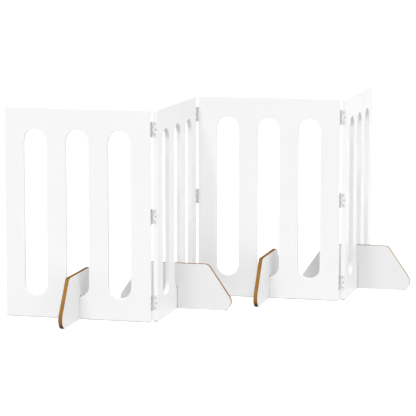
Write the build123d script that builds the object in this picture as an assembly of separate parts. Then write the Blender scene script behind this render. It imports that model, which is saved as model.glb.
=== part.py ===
from build123d import *
import os
from math import radians, tan

# Free-standing folding pet gate: four slotted boards in a zig-zag, three hinges at each
# joint, and one foot board standing through the middle slot of every panel.
# Millimetres. Each panel has a local frame: +X along the panel from its left end, +Y from
# its front face to its back face, +Z up from the floor.

# ---- driving dimensions -------------------------------------------------------------
PANEL_COUNT = 4
PANEL_WIDTH = 500.0
PANEL_HEIGHT = 700.0
PANEL_THICKNESS = 15.0
PANEL_CORNER = 5.0
PANEL_ARRIS = 1.2

SLOT_COUNT = 3
SLOT_WIDTH = 78.0
TOP_RAIL = 70.0
BOTTOM_RAIL = 74.0

FOOT_LENGTH = 390.0
FOOT_HEIGHT = 156.0
FOOT_THICKNESS = 14.0
FOOT_SLOPE = 55.5
FOOT_TOP_CORNER = 20.0
FOOT_TIP_CORNER = 30.0
FOOT_ARRIS = 0.6
SLIT_CLEARANCE = 1.0
SLIT_HEADROOM = 4.0
SLIT_CORNER = 4.0

HINGE_HEIGHT = 50.0
HINGE_END_DISTANCE = 63.0
HINGE_HALF_GAP = 1.5
BARREL_RADIUS = 3.0
BARREL_STANDOFF = 0.2
LEAF_THICKNESS = 1.1
LEAF_SETBACK = 1.0
LEAF_CORNER = 1.5
PIN_CLEARANCE = 0.05
KNUCKLE_COUNT = 5
KNUCKLE_GAP = 0.15
KNUCKLE_SEAM = 0.25
SWEEP_CLEARANCE = 0.4
PIN_HEAD_RADIUS = 2.3
PIN_HEAD_HEIGHT = 0.9

SCREW_LENGTH = 20.0
SCREW_SHANK_RADIUS = 1.4
SCREW_HEAD_RADIUS = 2.6
SCREW_TIP_LENGTH = 4.0
SCREW_CLEARANCE = 0.02
RECESS_LENGTH = 3.0
RECESS_WIDTH = 0.7
RECESS_DEPTH = 1.2
SCREW_END_DISTANCE = 7.5
OUTER_SCREW_FROM_BARREL = 6.0
MIDDLE_SCREW_FROM_BARREL = 9.5

# ---- worked-out dimensions ----------------------------------------------------------
STILE_WIDTH = (PANEL_WIDTH - SLOT_COUNT * SLOT_WIDTH) / (SLOT_COUNT + 1)
SLOT_HEIGHT = PANEL_HEIGHT - TOP_RAIL - BOTTOM_RAIL
SLOT_MIDDLE = BOTTOM_RAIL + SLOT_HEIGHT / 2
SLOT_PITCH = SLOT_WIDTH + STILE_WIDTH
BARREL_OFFSET = BARREL_RADIUS + BARREL_STANDOFF
BORE_RADIUS = BARREL_RADIUS - LEAF_THICKNESS
PIN_RADIUS = BORE_RADIUS - PIN_CLEARANCE
KNUCKLE_PITCH = HINGE_HEIGHT / KNUCKLE_COUNT
HINGE_CENTRES = {
    "top": PANEL_HEIGHT - HINGE_END_DISTANCE,
    "middle": PANEL_HEIGHT / 2,
    "bottom": HINGE_END_DISTANCE,
}
# The barrel is on the back of the first joint, on the front of the next, and so on.
BARREL_SIDES = ("back", "front", "back")


# ---- panels -------------------------------------------------------------------------
def rounded_board(outline, thickness, arris):
    """Extrude an outline from z = 0 and soften every edge of both faces."""
    board = extrude(outline, thickness)
    flat_faces = board.faces().filter_by(Axis.Z)
    return fillet(flat_faces.edges(), arris)


def panel_shape():
    """One board with three tall round-ended slots, in the panel's local frame."""
    outline = Pos(PANEL_WIDTH / 2, PANEL_HEIGHT / 2) * RectangleRounded(
        PANEL_WIDTH, PANEL_HEIGHT, PANEL_CORNER
    )
    for index in range(SLOT_COUNT):
        offset = (index - (SLOT_COUNT - 1) / 2) * SLOT_PITCH
        slot = SlotOverall(SLOT_HEIGHT, SLOT_WIDTH, rotation=90)
        outline -= Pos(PANEL_WIDTH / 2 + offset, SLOT_MIDDLE) * slot
    board = rounded_board(outline, PANEL_THICKNESS, PANEL_ARRIS)
    # The outline lies in X-Y: stand it up, with the front face at y = 0.
    return Pos(0, PANEL_THICKNESS, 0) * Rot(90, 0, 0) * board


# ---- feet ---------------------------------------------------------------------------
def foot_shape():
    """A trapezoid board across the panel, slit from below to straddle the bottom rail."""
    slope = tan(radians(FOOT_SLOPE))
    tip_extra = FOOT_TIP_CORNER * (1 / tan(radians(FOOT_SLOPE / 2)) - 1)
    base_half = FOOT_LENGTH / 2 + tip_extra
    top_half = base_half - FOOT_HEIGHT / slope
    corners = [
        (-base_half, 0),
        (base_half, 0),
        (top_half, FOOT_HEIGHT),
        (-top_half, FOOT_HEIGHT),
    ]
    outline = make_face(Polyline(*corners, close=True))
    low = outline.vertices().filter_by(lambda v: v.Y < FOOT_HEIGHT / 2)
    outline = fillet(low, FOOT_TIP_CORNER)
    high = outline.vertices().filter_by(lambda v: v.Y > FOOT_HEIGHT - 1)
    outline = fillet(high, FOOT_TOP_CORNER)

    slit_width = PANEL_THICKNESS + 2 * SLIT_CLEARANCE
    slit_top = BOTTOM_RAIL + SLIT_HEADROOM
    # The slit's rounded outline starts below the board, so only its top corners show.
    slit = RectangleRounded(slit_width, 2 * slit_top, SLIT_CORNER)
    outline -= slit
    board = rounded_board(outline, FOOT_THICKNESS, FOOT_ARRIS)
    # Board plane X-Y becomes the panel's Y-Z plane, centred on the panel's thickness.
    upright = Rot(0, 0, 90) * Rot(90, 0, 0) * Pos(0, 0, -FOOT_THICKNESS / 2) * board
    return Pos(PANEL_WIDTH / 2, PANEL_THICKNESS / 2, 0) * upright


# ---- hinges -------------------------------------------------------------------------
# A hinge is drawn for the board on the left of the joint with the barrel at its back:
# the pin's axis is Z, the board's end face is at x = -HINGE_HALF_GAP, and its back face is
# at y = -BARREL_OFFSET.
def screw_places():
    """(y, z) of the three screws of a leaf; the middle one sits further from the barrel."""
    board_back = -BARREL_OFFSET
    end = HINGE_HEIGHT / 2 - SCREW_END_DISTANCE
    outer = board_back - OUTER_SCREW_FROM_BARREL
    middle = board_back - MIDDLE_SCREW_FROM_BARREL
    return [(outer, end), (middle, 0), (outer, -end)]


def screw_envelope(clearance, length):
    """The screw's outside, head face at x = 0, tip towards -X."""
    shank = SCREW_SHANK_RADIUS + clearance
    head = SCREW_HEAD_RADIUS + clearance
    head_depth = head - shank
    straight = length - SCREW_TIP_LENGTH
    profile = Polyline(
        (0, 0),
        (head, 0),
        (shank, -head_depth),
        (shank, -straight),
        (0, -length),
        close=True,
    )
    turned = revolve(Plane.XZ * make_face(profile), Axis.Z)
    return Rot(0, 90, 0) * turned


def screw_shape():
    """A countersunk cross-recess screw, head face at x = 0."""
    screw = screw_envelope(0, SCREW_LENGTH)
    for tilt in (0, 90):
        arm = Box(2 * RECESS_DEPTH, RECESS_LENGTH, RECESS_WIDTH)
        screw -= Rot(tilt, 0, 0) * arm
    return screw


def knuckle_heights(first):
    """Lower and upper z of every second knuckle, starting from the one numbered first."""
    heights = []
    for index in range(first, KNUCKLE_COUNT, 2):
        low = index * KNUCKLE_PITCH - HINGE_HEIGHT / 2
        start = low if index == 0 else low + KNUCKLE_GAP / 2
        stop = low + KNUCKLE_PITCH
        if index < KNUCKLE_COUNT - 1:
            stop -= KNUCKLE_GAP / 2
        heights.append((start, stop))
    return heights


def leaf_shape(first_knuckle):
    """A flat leaf on the board's end with its knuckles rolled round the pin's axis."""
    outer_x = -HINGE_HALF_GAP + LEAF_THICKNESS
    front_y = -BARREL_OFFSET - PANEL_THICKNESS + LEAF_SETBACK
    plate_y = -BARREL_OFFSET - SWEEP_CLEARANCE
    plate = Pos(-HINGE_HALF_GAP, front_y, -HINGE_HEIGHT / 2) * Box(
        LEAF_THICKNESS, plate_y - front_y, HINGE_HEIGHT, align=Align.MIN
    )
    free_corners = plate.edges().filter_by(Axis.X).group_by(Axis.Y)[0]
    leaf = fillet(free_corners, LEAF_CORNER)

    for start, stop in knuckle_heights(first_knuckle):
        height = stop - start
        neck_end = -BORE_RADIUS + LEAF_THICKNESS / 4
        neck = Pos(-HINGE_HALF_GAP, plate_y - 1, start) * Box(
            LEAF_THICKNESS, neck_end - plate_y + 1, height, align=Align.MIN
        )
        tube = Pos(0, 0, start) * Cylinder(
            BARREL_RADIUS, height, align=(Align.CENTER, Align.CENTER, Align.MIN)
        )
        bore = Pos(0, 0, start - 1) * Cylinder(
            BORE_RADIUS, height + 2, align=(Align.CENTER, Align.CENTER, Align.MIN)
        )
        # The rolled end of the sheet stops just short of the leaf.
        seam = Pos(outer_x, -BARREL_RADIUS - 1, start - 1) * Box(
            KNUCKLE_SEAM, BARREL_RADIUS, height + 2, align=Align.MIN
        )
        leaf += (neck + tube) - bore - seam

    holes = screw_envelope(SCREW_CLEARANCE, SCREW_LENGTH)
    for y, z in screw_places():
        leaf -= Pos(outer_x, y, z) * holes
    return leaf


def pin_shape():
    """The hinge pin with a low domed head at each end, clear of the knuckles."""
    reach = HINGE_HEIGHT / 2 + KNUCKLE_GAP
    pin = Cylinder(PIN_RADIUS, 2 * reach + PIN_HEAD_HEIGHT)
    head = Cylinder(PIN_HEAD_RADIUS, PIN_HEAD_HEIGHT)
    rim = head.edges().filter_by(GeomType.CIRCLE).group_by(Axis.Z)[-1]
    head = fillet(rim, PIN_HEAD_HEIGHT * 0.6)
    for turn in (0, 180):
        pin += Rot(turn, 0, 0) * Pos(0, 0, reach + PIN_HEAD_HEIGHT / 2) * head
    return pin


def turned_for(shape, board_side, barrel_side):
    """Mirror a hinge piece for the board on the right or for a barrel at the front."""
    if board_side == "right":
        shape = mirror(shape, about=Plane.YZ)
    if barrel_side == "front":
        shape = mirror(shape, about=Plane.XZ)
    return shape


# ---- layout -------------------------------------------------------------------------
def barrel_y(barrel_side):
    """The pin's place across the panel's thickness, in a panel's local frame."""
    return PANEL_THICKNESS + BARREL_OFFSET if barrel_side == "back" else -BARREL_OFFSET


def panel_frames():
    """Local frames of the panels in the zig-zag, the first panel's at the origin."""
    frames = [Location((0, 0, 0))]
    for barrel_side in BARREL_SIDES:
        across = barrel_y(barrel_side)
        turn = 90 if barrel_side == "back" else -90
        pin = Location((PANEL_WIDTH + HINGE_HALF_GAP, across, 0))
        next_board = Location((HINGE_HALF_GAP, -across, 0))
        frames.append(frames[-1] * pin * Location((0, 0, 0), (0, 0, turn)) * next_board)
    return frames


def centred(frames):
    """Shift the frames so that the gate's bounding box stands centred on the origin."""
    last = frames[-1].position
    far_x = last.X - PANEL_THICKNESS / 2 + FOOT_LENGTH / 2
    far_y = last.Y + PANEL_WIDTH
    near_y = PANEL_THICKNESS / 2 - FOOT_LENGTH / 2
    shift = Location((-far_x / 2, -(far_y + near_y) / 2, 0))
    return [shift * frame for frame in frames]


def pin_location(frames, joint):
    """Where a joint's pin axis meets the floor, turned as the panel on its left."""
    across = barrel_y(BARREL_SIDES[joint])
    return frames[joint] * Location((PANEL_WIDTH + HINGE_HALF_GAP, across, 0))


def screw_group(board_side, barrel_side):
    """The three screws of one leaf, about the hinge's centre."""
    outer_x = -HINGE_HALF_GAP + LEAF_THICKNESS
    screws = []
    for y, z in screw_places():
        screw = Pos(outer_x, y, z) * screw_shape()
        screws.append(turned_for(screw, board_side, barrel_side))
    return screws


def screw_holes(board_side, barrel_side):
    """Solids that drill the three holes of one leaf, about the hinge's centre."""
    outer_x = -HINGE_HALF_GAP + LEAF_THICKNESS
    drill = screw_envelope(SCREW_CLEARANCE, SCREW_LENGTH + SCREW_CLEARANCE)
    holes = []
    for y, z in screw_places():
        holes.append(turned_for(Pos(outer_x, y, z) * drill, board_side, barrel_side))
    return holes


def drilled_panel(index):
    """A panel with the screw holes of the hinges on its two ends."""
    board = panel_shape()
    ends = []
    if index > 0:
        ends.append(("right", BARREL_SIDES[index - 1], -HINGE_HALF_GAP))
    if index < PANEL_COUNT - 1:
        ends.append(("left", BARREL_SIDES[index], PANEL_WIDTH + HINGE_HALF_GAP))
    for board_side, barrel_side, along in ends:
        for height in HINGE_CENTRES.values():
            place = Pos(along, barrel_y(barrel_side), height)
            for hole in screw_holes(board_side, barrel_side):
                board -= place * hole
    return board


def build_parts():
    """Every node's shape in the gate's frame, by name."""
    frames = centred(panel_frames())
    parts = {}
    for index, frame in enumerate(frames):
        parts[f"panel_{index + 1}"] = frame * drilled_panel(index)
        parts[f"foot_{index + 1}"] = frame * foot_shape()

    first_knuckles = {"left": 0, "right": 1}
    for joint, barrel_side in enumerate(BARREL_SIDES):
        base = pin_location(frames, joint)
        # The right-hand leaf is drawn in its own panel's direction.
        right_turn = 90 if barrel_side == "back" else -90
        turns = {"left": 0, "right": right_turn}
        for level, height in HINGE_CENTRES.items():
            name = f"hinge_{joint + 1}_{level}"
            for board_side, first in first_knuckles.items():
                place = base * Location((0, 0, height), (0, 0, turns[board_side]))
                leaf = turned_for(leaf_shape(first), board_side, barrel_side)
                screws = screw_group(board_side, barrel_side)
                parts[f"{name}_leaf_{board_side}"] = place * leaf
                parts[f"{name}_screws_{board_side}"] = Compound(
                    children=[place * screw for screw in screws]
                )
            parts[f"{name}_pin"] = base * Pos(0, 0, height) * pin_shape()
    return parts


os.makedirs("parts", exist_ok=True)
for node_name, shape in build_parts().items():
    export_step(shape, f"parts/{node_name}.step")
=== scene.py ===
"""Looks of the folding pet gate: white lacquered boards, bare board edges, satin steel hinges."""
from math import radians

import bpy
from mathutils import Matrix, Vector


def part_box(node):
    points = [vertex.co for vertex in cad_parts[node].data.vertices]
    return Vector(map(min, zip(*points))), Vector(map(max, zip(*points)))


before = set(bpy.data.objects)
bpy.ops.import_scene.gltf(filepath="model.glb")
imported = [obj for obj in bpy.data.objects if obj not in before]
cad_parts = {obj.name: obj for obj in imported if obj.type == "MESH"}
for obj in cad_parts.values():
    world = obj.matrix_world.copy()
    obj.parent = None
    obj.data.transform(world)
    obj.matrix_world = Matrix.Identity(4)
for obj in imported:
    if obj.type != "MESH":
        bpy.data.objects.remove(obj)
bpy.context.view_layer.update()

MM = 0.001
REACH_FADE = 1.25


# ---- node helpers ---------------------------------------------------------------------
class Shader:
    """A material's node tree, with short calls for the nodes that repeat."""

    def __init__(self, name):
        self.material = bpy.data.materials.new(name)
        self.material.use_nodes = True
        self.tree = self.material.node_tree
        self.principled = self.tree.nodes["Principled BSDF"]
        self.place = self.node("ShaderNodeTexCoord")

    def node(self, kind, **settings):
        made = self.tree.nodes.new(kind)
        for key, value in settings.items():
            setattr(made, key, value)
        return made

    def link(self, source, target):
        """Feed a socket from another socket, or from a plain value."""
        if hasattr(source, "is_output"):
            self.tree.links.new(source, target)
        else:
            target.default_value = source

    def scaled(self, scale):
        """The object's own coordinates, in metres, stretched by a scale along each axis."""
        mapping = self.node("ShaderNodeMapping")
        self.link(self.place.outputs["Object"], mapping.inputs["Vector"])
        mapping.inputs["Scale"].default_value = scale
        return mapping.outputs["Vector"]

    def noise(self, scale, detail=2.0, roughness=0.5, stretch=(1, 1, 1)):
        """Noise with features about 1/scale metres across, between 0 and 1."""
        texture = self.node("ShaderNodeTexNoise")
        self.link(self.scaled(stretch), texture.inputs["Vector"])
        texture.inputs["Scale"].default_value = scale
        texture.inputs["Detail"].default_value = detail
        texture.inputs["Roughness"].default_value = roughness
        return texture.outputs["Fac"]

    def math(self, operation, a, b=0.0):
        made = self.node("ShaderNodeMath", operation=operation)
        self.link(a, made.inputs[0])
        self.link(b, made.inputs[1])
        return made.outputs[0]

    def remap(self, value, low, high, to_low, to_high):
        """Take low..high to to_low..to_high, and hold the ends beyond them."""
        made = self.node("ShaderNodeMapRange")
        self.link(value, made.inputs["Value"])
        limits = {"From Min": low, "From Max": high, "To Min": to_low, "To Max": to_high}
        for key, limit in limits.items():
            made.inputs[key].default_value = limit
        return made.outputs["Result"]

    def mix(self, factor, a, b):
        made = self.node("ShaderNodeMix", data_type="RGBA")
        self.link(factor, made.inputs["Factor"])
        self.link(a, made.inputs["A"])
        self.link(b, made.inputs["B"])
        return made.outputs["Result"]

    def normal_along(self, axis):
        """How squarely the surface faces along an object axis, 0 to 1."""
        parts = self.node("ShaderNodeSeparateXYZ")
        self.link(self.place.outputs["Normal"], parts.inputs["Vector"])
        return self.math("ABSOLUTE", parts.outputs[axis])

    def near_upright(self, centre, reach):
        """1 within a reach of an upright line, fading to 0 a quarter further out."""
        flat = self.scaled((1, 1, 0))
        gap = self.node("ShaderNodeVectorMath", operation="DISTANCE")
        self.link(flat, gap.inputs[0])
        gap.inputs[1].default_value = (centre.x, centre.y, 0)
        return self.remap(gap.outputs["Value"], reach, reach * REACH_FADE, 1.0, 0.0)

    def height(self):
        """Height above the floor at rest, in metres."""
        parts = self.node("ShaderNodeSeparateXYZ")
        self.link(self.place.outputs["Object"], parts.inputs["Vector"])
        return parts.outputs["Z"]

    def bump(self, height, distance, strength=1.0, under=None):
        made = self.node("ShaderNodeBump")
        made.inputs["Strength"].default_value = strength
        made.inputs["Distance"].default_value = distance
        self.link(height, made.inputs["Height"])
        if under is not None:
            self.link(under, made.inputs["Normal"])
        return made.outputs["Normal"]

    @staticmethod
    def socket_name(key):
        """specular_ior_level stands for the socket named Specular IOR Level."""
        return key.replace("_", " ").title().replace("Ior", "IOR")

    def set(self, **values):
        for key, value in values.items():
            self.link(value, self.principled.inputs[self.socket_name(key)])


def grey(level):
    return (level, level, level, 1.0)


# ---- materials ------------------------------------------------------------------------
# Colours are linear; a shade is what its colour drifts towards in clouds and marks.
LACQUER = (0.799, 0.799, 0.8, 1.0)
LACQUER_SHADE = (0.785, 0.785, 0.785, 1.0)
FOOT_LACQUER = (0.736, 0.736, 0.737, 1.0)
FOOT_LACQUER_SHADE = (0.723, 0.723, 0.723, 1.0)
FOOT_SPECULAR = 0.12
BARE_BOARD = (0.275, 0.137, 0.031, 1.0)
BARE_BOARD_DARK = (0.155, 0.068, 0.011, 1.0)
BARE_BOARD_PALE = (0.35, 0.19, 0.05, 1.0)
# Painted shade on the lowest, floor-facing part of the foot edges: its near-black colour and how
# high it reaches.
BARE_BOARD_UNDERSIDE_SHADE = (0.03, 0.014, 0.006, 1.0)
UNDERSIDE_SHADE_HEIGHT = 16 * MM
# Painted contact shade along the panels' bottom edge: its colour and how high it reaches.
CONTACT_SHADE_COLOUR = (0.4, 0.39, 0.375, 1.0)
CONTACT_SHADE_HEIGHT = 2.4 * MM
FLOOR_GLOW = 0.18
# Painted shade on the hinge knuckles in the gap between panels: its tone and reach.
KNUCKLE_SHADE_TONE = (0.5, 0.5, 0.495, 1.0)
KNUCKLE_SHADE_REACH = 3.2 * MM

# Features per metre of each kind of noise.
CLOUDS = 5.0
DUST_SPECKS = 240.0
SHEEN_PATCHES = 14.0
ORANGE_PEEL = 420.0
CONTACT_SHADE_RAGGEDNESS = 35.0
FIBRES = 700.0
EDGE_PATCHES = 24.0
LACQUER_LINE = 320.0
HANDLING_MARKS = 180.0
FLOOR_MOTTLE = 3.0
FLOOR_GRAIN = 60.0
ACROSS_LAYERS = 900
ALONG_LAYERS = 60
UPRIGHT_GRAIN = (1500, 1500, 90)
EVEN_GRAIN = (700, 700, 700)

# Depths of the fine relief.
ORANGE_PEEL_DEPTH = 0.06 * MM
FIBRE_DEPTH = 0.25 * MM
STEEL_GRAIN_DEPTH = 0.03 * MM
FLOOR_GRAIN_DEPTH = 0.2 * MM

BARE_ROUGHNESS = 0.82
FLOOR_ROUGHNESS = 0.9


def lacquer_surface(shader, tone, shade):
    """Colour, roughness and relief of sprayed white lacquer on a smooth board."""
    clouds = shader.noise(CLOUDS, detail=3.0)
    dust_and_contact_shade = shader.noise(DUST_SPECKS, detail=4.0, roughness=0.7)
    specks = shader.remap(dust_and_contact_shade, 0.66, 0.74, 0.0, 0.35)
    colour = shader.mix(clouds, tone, shade)
    colour = shader.mix(specks, colour, shade)
    roughness = shader.remap(shader.noise(SHEEN_PATCHES, detail=4.0), 0.3, 0.7, 0.36, 0.5)
    orange_peel = shader.noise(ORANGE_PEEL, detail=1.0)
    return colour, roughness, orange_peel


def panel_lacquer():
    """White lacquer all over, with a painted dark line of contact shade along the edge that
    stands on the floor, on the sides facing along Y only.
    """
    shader = Shader("panel_lacquer")
    colour, roughness, orange_peel = lacquer_surface(shader, LACQUER, LACQUER_SHADE)
    # Painted shade: a ragged dark line along the bottom edge, kept to the sides that face along
    # Y.
    ragged = shader.math("MULTIPLY", shader.noise(CONTACT_SHADE_RAGGEDNESS, detail=3.0), CONTACT_SHADE_HEIGHT)
    contact_shaded_to = shader.math("SUBTRACT", shader.height(), ragged)
    dust_and_contact_shade = shader.remap(contact_shaded_to, 0.0, CONTACT_SHADE_HEIGHT, 0.8, 0.0)
    dust_and_contact_shade = shader.math("MULTIPLY", dust_and_contact_shade, shader.normal_along("Y"))
    colour = shader.mix(dust_and_contact_shade, colour, CONTACT_SHADE_COLOUR)
    shader.set(base_color=colour, roughness=roughness)
    shader.set(normal=shader.bump(orange_peel, ORANGE_PEEL_DEPTH, strength=0.5))
    return shader.material


def foot_finish(name, thickness_axis):
    """White lacquer on both faces of a foot, and bare board all round its edge."""
    shader = Shader(name)
    lacquer, roughness, orange_peel = lacquer_surface(shader, FOOT_LACQUER, FOOT_LACQUER_SHADE)

    # Pressed fibres lie in layers parallel to the faces.
    layered = [ALONG_LAYERS] * 3
    layered["XYZ".index(thickness_axis)] = ACROSS_LAYERS
    layers = shader.noise(1.0, detail=5.0, roughness=0.6, stretch=layered)
    fibres = shader.noise(FIBRES, detail=3.0, roughness=0.65)
    patches = shader.noise(EDGE_PATCHES, detail=3.0)
    bare = shader.mix(shader.remap(layers, 0.3, 0.7, 0.0, 1.0), BARE_BOARD, BARE_BOARD_PALE)
    bare = shader.mix(shader.remap(fibres, 0.52, 0.72, 0.0, 0.7), bare, BARE_BOARD_DARK)
    bare = shader.mix(shader.remap(patches, 0.35, 0.7, 0.0, 0.5), bare, BARE_BOARD_DARK)
    # Painted shade: the level top of the edge is darker than its slopes.
    level = shader.remap(shader.normal_along("Z"), 0.8, 0.98, 0.0, 0.75)
    bare = shader.mix(level, bare, BARE_BOARD_DARK)
    # Painted shade: the lowest part of the edge, which faces the floor, is darkened to near
    # black.
    ragged_underside_height = shader.math("ADD", shader.height(), shader.math("MULTIPLY", patches, UNDERSIDE_SHADE_HEIGHT))
    low = shader.remap(ragged_underside_height, UNDERSIDE_SHADE_HEIGHT * 0.8, UNDERSIDE_SHADE_HEIGHT * 1.5, 0.85, 0.0)
    bare = shader.mix(low, bare, BARE_BOARD_UNDERSIDE_SHADE)

    # The lacquer wraps a little way over the softened edge, and ends unevenly.
    facing = shader.normal_along(thickness_axis)
    ragged = shader.remap(shader.noise(LACQUER_LINE, detail=3.0), 0.3, 0.7, -0.12, 0.12)
    coated = shader.remap(shader.math("ADD", facing, ragged), 0.5, 0.62, 0.0, 1.0)

    shader.set(base_color=shader.mix(coated, bare, lacquer))
    mixed = shader.node("ShaderNodeMix", data_type="FLOAT")
    shader.link(coated, mixed.inputs["Factor"])
    shader.link(BARE_ROUGHNESS, mixed.inputs["A"])
    shader.link(roughness, mixed.inputs["B"])
    shader.set(roughness=mixed.outputs["Result"])
    shader.set(specular_ior_level=FOOT_SPECULAR)
    fuzz = shader.math("MULTIPLY", layers, shader.math("SUBTRACT", 1.0, coated))
    fuzzed = shader.bump(fuzz, FIBRE_DEPTH, strength=0.7)
    relief = shader.bump(orange_peel, ORANGE_PEEL_DEPTH, strength=0.4, under=fuzzed)
    shader.set(normal=relief)
    return shader.material


def satin_steel(name, colour, shade, roughness, grain, shaded_round=None):
    """Plated steel: fine grain, faint handling marks, and painted shade near a pin if one is
    given.
    """
    shader = Shader(name)
    brushed = shader.noise(1.0, detail=4.0, roughness=0.6, stretch=grain)
    marks = shader.noise(HANDLING_MARKS, detail=4.0, roughness=0.6)
    tint = shader.mix(shader.remap(marks, 0.4, 0.75, 0.0, 1.0), colour, shade)
    if shaded_round is not None:
        tint = shader.mix(shader.near_upright(shaded_round, KNUCKLE_SHADE_REACH), tint, KNUCKLE_SHADE_TONE)
    shader.set(base_color=tint, metallic=1.0)
    spread = shader.remap(brushed, 0.3, 0.7, roughness - 0.07, roughness + 0.09)
    shader.set(roughness=spread)
    shader.set(normal=shader.bump(brushed, STEEL_GRAIN_DEPTH, strength=0.5))
    return shader.material


def leaf_steel(joint):
    """The steel of one joint's leaves, with painted shade on the knuckles, which sit in the gap
    between panels.
    """
    low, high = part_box(f"hinge_{joint}_middle_pin")
    centre = (low + high) / 2
    name = f"leaf_steel_{joint}"
    return satin_steel(name, grey(0.69), grey(0.58), 0.38, UPRIGHT_GRAIN, shaded_round=centre)


def studio_floor():
    """Pale, matt and faintly mottled, with a little glow of its own."""
    shader = Shader("studio_floor")
    mottle = shader.noise(FLOOR_MOTTLE, detail=3.0)
    shader.set(base_color=shader.mix(mottle, grey(0.93), grey(0.91)), roughness=FLOOR_ROUGHNESS)
    shader.set(emission_color=grey(1.0), emission_strength=FLOOR_GLOW)
    shader.set(normal=shader.bump(shader.noise(FLOOR_GRAIN), FLOOR_GRAIN_DEPTH, strength=0.3))
    return shader.material


# ---- dress the CAD nodes --------------------------------------------------------------
panel_material = panel_lacquer()
foot_materials = {axis: foot_finish(f"foot_finish_{axis.lower()}", axis) for axis in "XY"}
leaf_materials = [leaf_steel(joint) for joint in (1, 2, 3)]
pin_material = satin_steel("pin_steel", grey(0.5), grey(0.42), 0.34, EVEN_GRAIN)
screw_material = satin_steel("screw_zinc", grey(0.36), grey(0.28), 0.3, EVEN_GRAIN)


def finish_for(name):
    """The material of a CAD node, told from its name."""
    if name.startswith("panel"):
        return panel_material
    if name.startswith("foot"):
        low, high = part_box(name)
        size = high - low
        return foot_materials["X" if size.x < size.y else "Y"]
    if "screws" in name:
        return screw_material
    if name.endswith("pin"):
        return pin_material
    joint = int(name.split("_")[1])
    return leaf_materials[joint - 1]


for node_name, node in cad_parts.items():
    node.data.materials.clear()
    node.data.materials.append(finish_for(node_name))


# ---- stage ----------------------------------------------------------------------------
FLOOR_REACH = 60.0
FLOOR_DROP = 0.2 * MM


def add_floor():
    """A wide pale floor, just under the gate."""
    signs = ((-1, -1), (1, -1), (1, 1), (-1, 1))
    corners = [(x * FLOOR_REACH, y * FLOOR_REACH, 0) for x, y in signs]
    mesh = bpy.data.meshes.new("floor")
    mesh.from_pydata(corners, [], [(0, 1, 2, 3)])
    mesh.materials.append(studio_floor())
    floor = bpy.data.objects.new("floor", mesh)
    floor.location.z = -FLOOR_DROP
    bpy.context.collection.objects.link(floor)
    # The floor catches light but throws none back, like a dark-flagged studio table.
    floor.visible_diffuse = False
    floor.visible_shadow = False


add_floor()

# ---- light ----------------------------------------------------------------------------
# Brightness at places from straight down (0) over level (0.5) to straight up (1).
DOME_LEVELS = ((0.0, 0.15), (0.5, 1.25), (1.0, 0.0))


def add_dome():
    """Even light from walls all round, brightest at eye height."""
    world = bpy.data.worlds.new("studio")
    world.use_nodes = True
    bpy.context.scene.world = world
    nodes, link = world.node_tree.nodes, world.node_tree.links.new
    place = nodes.new("ShaderNodeTexCoord")
    parts = nodes.new("ShaderNodeSeparateXYZ")
    rise = nodes.new("ShaderNodeMapRange")
    rise.inputs["From Min"].default_value = -1.0
    ramp = nodes.new("ShaderNodeValToRGB")
    ramp.color_ramp.elements.new(0.5)
    for element, (position, level) in zip(ramp.color_ramp.elements, DOME_LEVELS):
        element.position = position
        element.color = grey(level)
    link(place.outputs["Generated"], parts.inputs["Vector"])
    link(parts.outputs["Z"], rise.inputs["Value"])
    link(rise.outputs["Result"], ramp.inputs["Fac"])
    link(ramp.outputs["Color"], nodes["Background"].inputs["Color"])


def add_sun(name, strength, turn, height, softness):
    """A broad lamp: turned to the right of the front, at a height above level, in degrees."""
    light = bpy.data.lights.new(name, "SUN")
    light.energy = strength
    light.angle = radians(softness)
    lamp = bpy.data.objects.new(name, light)
    lamp.rotation_euler = (radians(90 - height), 0, radians(turn))
    bpy.context.collection.objects.link(lamp)


add_dome()
add_sun("front", 0.69, turn=-12, height=45, softness=12)
add_sun("main", 1.74, turn=30, height=60, softness=25)
add_sun("side", 0.74, turn=90, height=40, softness=25)
add_sun("back", 1.03, turn=-150, height=45, softness=20)

# ---- camera ---------------------------------------------------------------------------
CAMERA_FROM_CORNER = Vector((2.4438, -6.7868, 1.4215))
CAMERA_DOWN = 8.385
CAMERA_TURN = 14.449
CAMERA_LENS = 189.24
CAMERA_SENSOR = 36.0
CAMERA_FAR_CLIP = 200.0


def add_camera():
    """The camera's place is counted from the first panel's free lower front corner."""
    data = bpy.data.cameras.new("camera")
    data.lens = CAMERA_LENS
    data.sensor_width = CAMERA_SENSOR
    data.clip_end = CAMERA_FAR_CLIP
    camera = bpy.data.objects.new("camera", data)
    corner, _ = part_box("panel_1")
    camera.location = corner + CAMERA_FROM_CORNER
    camera.rotation_euler = (radians(90 - CAMERA_DOWN), 0, radians(CAMERA_TURN))
    bpy.context.collection.objects.link(camera)
    bpy.context.scene.camera = camera


add_camera()
bpy.context.scene.view_settings.view_transform = "Standard"
